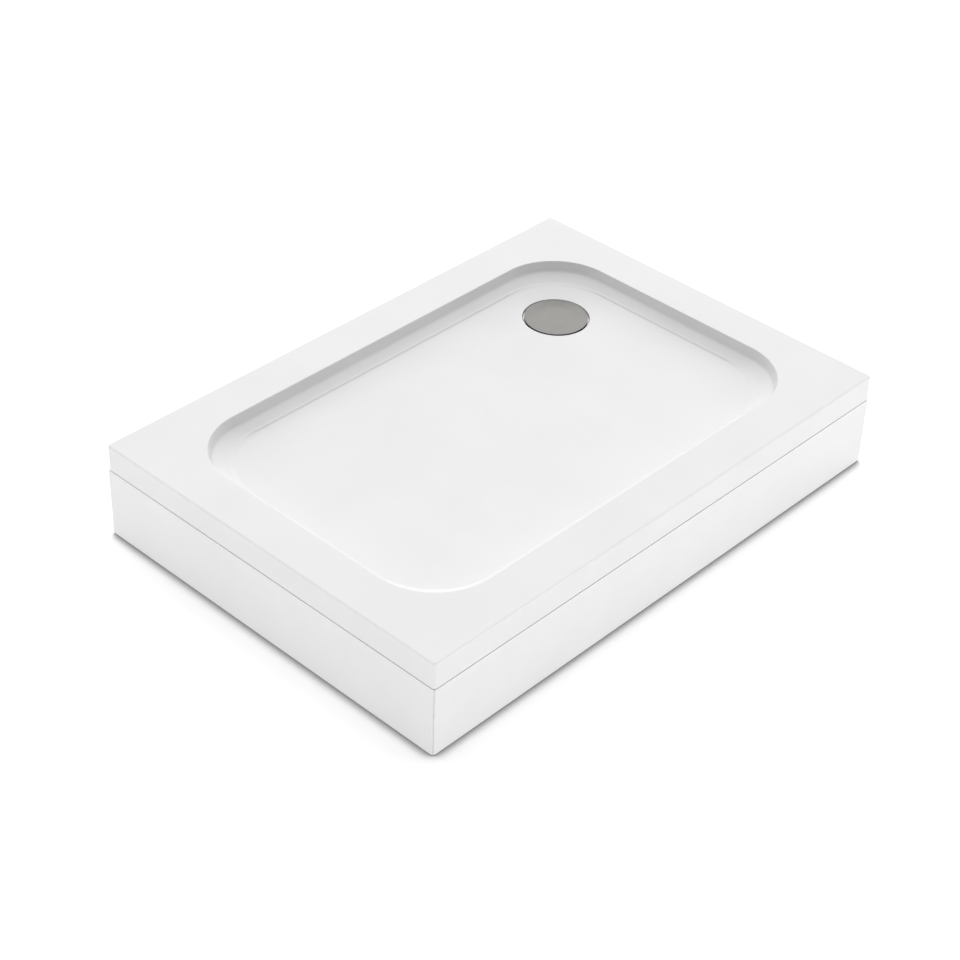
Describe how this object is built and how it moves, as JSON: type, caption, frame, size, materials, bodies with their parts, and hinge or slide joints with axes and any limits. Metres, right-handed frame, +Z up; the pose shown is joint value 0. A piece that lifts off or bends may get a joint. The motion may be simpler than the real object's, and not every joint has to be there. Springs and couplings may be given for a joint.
{
  "type": "shower tray",
  "caption": "Rectangular shower tray with a corner waste and lift-off cover, on levelling legs behind clip-on plinth panels.",
  "frame": {"origin": "on the floor under the centre of the tray", "axes": "+X along the tray's long side towards the waste end, +Y towards the back wall, +Z up"},
  "size_m": [1, 0.7, 0.17],
  "materials": {
    "white_skin": "smooth white acrylic-type skin, satin gloss",
    "cast_core": "cast resin and stone, fine speckle",
    "white_panel": "smooth white, satin gloss",
    "clip_plastic": "moulded, light grey",
    "leg_plastic": "moulded, black, fine grain",
    "zinc_steel": "bright zinc plate",
    "satin_steel": "satin stainless steel",
    "cover_metal": "satin metal",
    "trap_plastic": "moulded, white",
    "insert_plastic": "moulded, grey",
    "black_rubber": "matte black rubber"
  },
  "bodies": {
    "tray": {"tray_shell": "white_skin", "tray_core": "cast_core", "leg_socket_1": "leg_plastic", "leg_socket_2": "leg_plastic", "leg_socket_3": "leg_plastic", "leg_socket_4": "leg_plastic", "leg_socket_5": "leg_plastic", "leg_socket_6": "leg_plastic", "leg_socket_7": "leg_plastic", "lock_nuts": "zinc_steel", "socket_screws": "zinc_steel", "front_clip_1": "clip_plastic", "front_clip_2": "clip_plastic", "front_clip_3": "clip_plastic", "left_clip_1": "clip_plastic", "left_clip_2": "clip_plastic", "well_seal": "black_rubber", "waste_flange": "satin_steel", "under_seal_ring": "black_rubber", "trap_body": "trap_plastic", "trap_outlet": "trap_plastic", "outlet_seal": "black_rubber", "outlet_nut": "trap_plastic"},
    "front_panel": {"front_panel": "white_panel", "front_panel_studs": "clip_plastic"},
    "left_panel": {"left_panel": "white_panel", "left_panel_studs": "clip_plastic"},
    "foot_1": {"foot_pad_1": "leg_plastic"},
    "rod_1": {"threaded_rod_1": "zinc_steel"},
    "foot_2": {"foot_pad_2": "leg_plastic"},
    "rod_2": {"threaded_rod_2": "zinc_steel"},
    "foot_3": {"foot_pad_3": "leg_plastic"},
    "rod_3": {"threaded_rod_3": "zinc_steel"},
    "foot_4": {"foot_pad_4": "leg_plastic"},
    "rod_4": {"threaded_rod_4": "zinc_steel"},
    "foot_5": {"foot_pad_5": "leg_plastic"},
    "rod_5": {"threaded_rod_5": "zinc_steel"},
    "foot_6": {"foot_pad_6": "leg_plastic"},
    "rod_6": {"threaded_rod_6": "zinc_steel"},
    "foot_7": {"foot_pad_7": "leg_plastic"},
    "rod_7": {"threaded_rod_7": "zinc_steel"},
    "insert": {"trap_insert": "insert_plastic", "insert_ring": "black_rubber"},
    "cover": {"waste_cover": "cover_metal"}
  },
  "joints": [
    {"name": "leg_1_height", "type": "slide", "parent": "tray", "child": "foot_1", "axis": [0, 0, -1], "range_m": [-0.012, 0.015]},
    {"name": "rod_1_turn", "type": "hinge", "parent": "foot_1", "child": "rod_1", "pos_m": [-0.425, -0.275, 0.06], "axis": [0, 0, -1], "range_deg": [-2475, 3095]},
    {"name": "leg_2_height", "type": "slide", "parent": "tray", "child": "foot_2", "axis": [0, 0, -1], "range_m": [-0.012, 0.015]},
    {"name": "rod_2_turn", "type": "hinge", "parent": "foot_2", "child": "rod_2", "pos_m": [0, -0.275, 0.06], "axis": [0, 0, -1], "range_deg": [-2475, 3095]},
    {"name": "leg_3_height", "type": "slide", "parent": "tray", "child": "foot_3", "axis": [0, 0, -1], "range_m": [-0.012, 0.015]},
    {"name": "rod_3_turn", "type": "hinge", "parent": "foot_3", "child": "rod_3", "pos_m": [0.425, -0.275, 0.06], "axis": [0, 0, -1], "range_deg": [-2475, 3095]},
    {"name": "leg_4_height", "type": "slide", "parent": "tray", "child": "foot_4", "axis": [0, 0, -1], "range_m": [-0.012, 0.015]},
    {"name": "rod_4_turn", "type": "hinge", "parent": "foot_4", "child": "rod_4", "pos_m": [-0.425, 0.275, 0.06], "axis": [0, 0, -1], "range_deg": [-2475, 3095]},
    {"name": "leg_5_height", "type": "slide", "parent": "tray", "child": "foot_5", "axis": [0, 0, -1], "range_m": [-0.012, 0.015]},
    {"name": "rod_5_turn", "type": "hinge", "parent": "foot_5", "child": "rod_5", "pos_m": [0, 0.275, 0.06], "axis": [0, 0, -1], "range_deg": [-2475, 3095]},
    {"name": "leg_6_height", "type": "slide", "parent": "tray", "child": "foot_6", "axis": [0, 0, -1], "range_m": [-0.012, 0.015]},
    {"name": "rod_6_turn", "type": "hinge", "parent": "foot_6", "child": "rod_6", "pos_m": [0.425, 0.275, 0.06], "axis": [0, 0, -1], "range_deg": [-2475, 3095]},
    {"name": "leg_7_height", "type": "slide", "parent": "tray", "child": "foot_7", "axis": [0, 0, -1], "range_m": [-0.012, 0.015]},
    {"name": "rod_7_turn", "type": "hinge", "parent": "foot_7", "child": "rod_7", "pos_m": [0, 0, 0.06], "axis": [0, 0, -1], "range_deg": [-2475, 3095]},
    {"name": "front_panel_pull", "type": "slide", "parent": "tray", "child": "front_panel", "axis": [0, -1, 0], "range_m": [0, 0.15]},
    {"name": "left_panel_pull", "type": "slide", "parent": "tray", "child": "left_panel", "axis": [-1, 0, 0], "range_m": [0, 0.15]},
    {"name": "insert_lift", "type": "slide", "parent": "tray", "child": "insert", "axis": [0, 0, 1], "range_m": [0, 0.12]},
    {"name": "cover_lift", "type": "slide", "parent": "insert", "child": "cover", "axis": [0, 0, 1], "range_m": [0, 0.1]}
  ],
  "couplings": [
    {"joint": "rod_1_turn", "follows": "leg_1_height", "rad_per_m": 3590.4},
    {"joint": "rod_2_turn", "follows": "leg_2_height", "rad_per_m": 3590.4},
    {"joint": "rod_3_turn", "follows": "leg_3_height", "rad_per_m": 3590.4},
    {"joint": "rod_4_turn", "follows": "leg_4_height", "rad_per_m": 3590.4},
    {"joint": "rod_5_turn", "follows": "leg_5_height", "rad_per_m": 3590.4},
    {"joint": "rod_6_turn", "follows": "leg_6_height", "rad_per_m": 3590.4},
    {"joint": "rod_7_turn", "follows": "leg_7_height", "rad_per_m": 3590.4}
  ]
}
